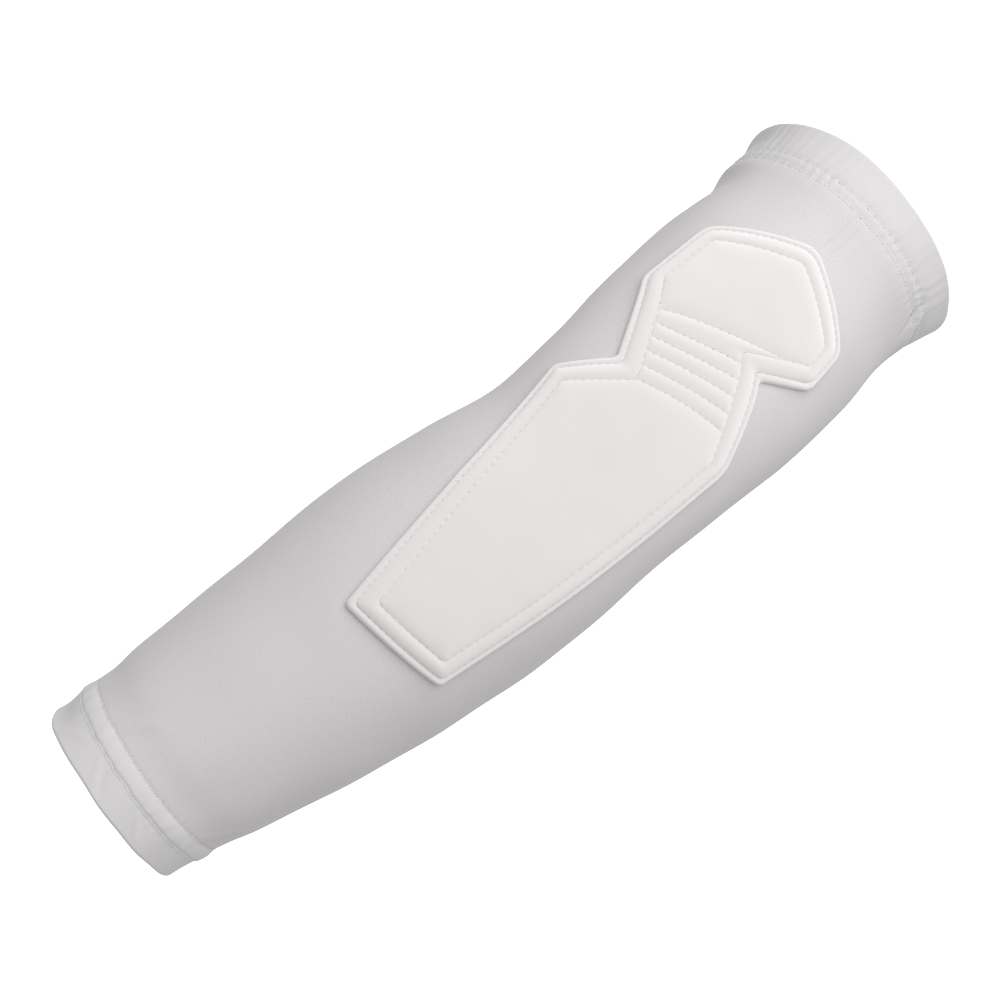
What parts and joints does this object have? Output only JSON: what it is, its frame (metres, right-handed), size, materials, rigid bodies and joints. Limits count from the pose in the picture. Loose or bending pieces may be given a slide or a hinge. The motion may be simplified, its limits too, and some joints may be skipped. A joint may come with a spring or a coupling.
{
  "type": "padded scuff sleeve",
  "caption": "Stretch-knit arm sleeve in its worn, slightly bent form, open at both ends, with a quilted pad of two panels joined by narrow ribs over the elbow and outer forearm.",
  "frame": {"origin": "on the axis of the arm's hollow at the elbow, where the bend is level", "axes": "+X along the arm to the upper-arm opening, +Z out through the point of the elbow and the pad, +Y to the side that the pad leans to"},
  "size_m": [0.3344, 0.0912, 0.1229],
  "materials": {
    "knit": "fine warp-knit stretch fabric, white, soft sheen",
    "pad_cloth": "smooth close-knit cloth over foam, warm white, matt"
  },
  "bodies": {
    "root": {"sleeve_body": "knit", "wrist_hem": "knit", "upper_hem": "knit", "pad_welt": "pad_cloth", "pad_border": "pad_cloth", "forearm_panel": "pad_cloth", "elbow_panel": "pad_cloth", "neck_rib_1": "pad_cloth", "neck_rib_2": "pad_cloth", "neck_rib_3": "pad_cloth", "neck_rib_4": "pad_cloth", "neck_rib_5": "pad_cloth"}
  },
  "joints": []
}
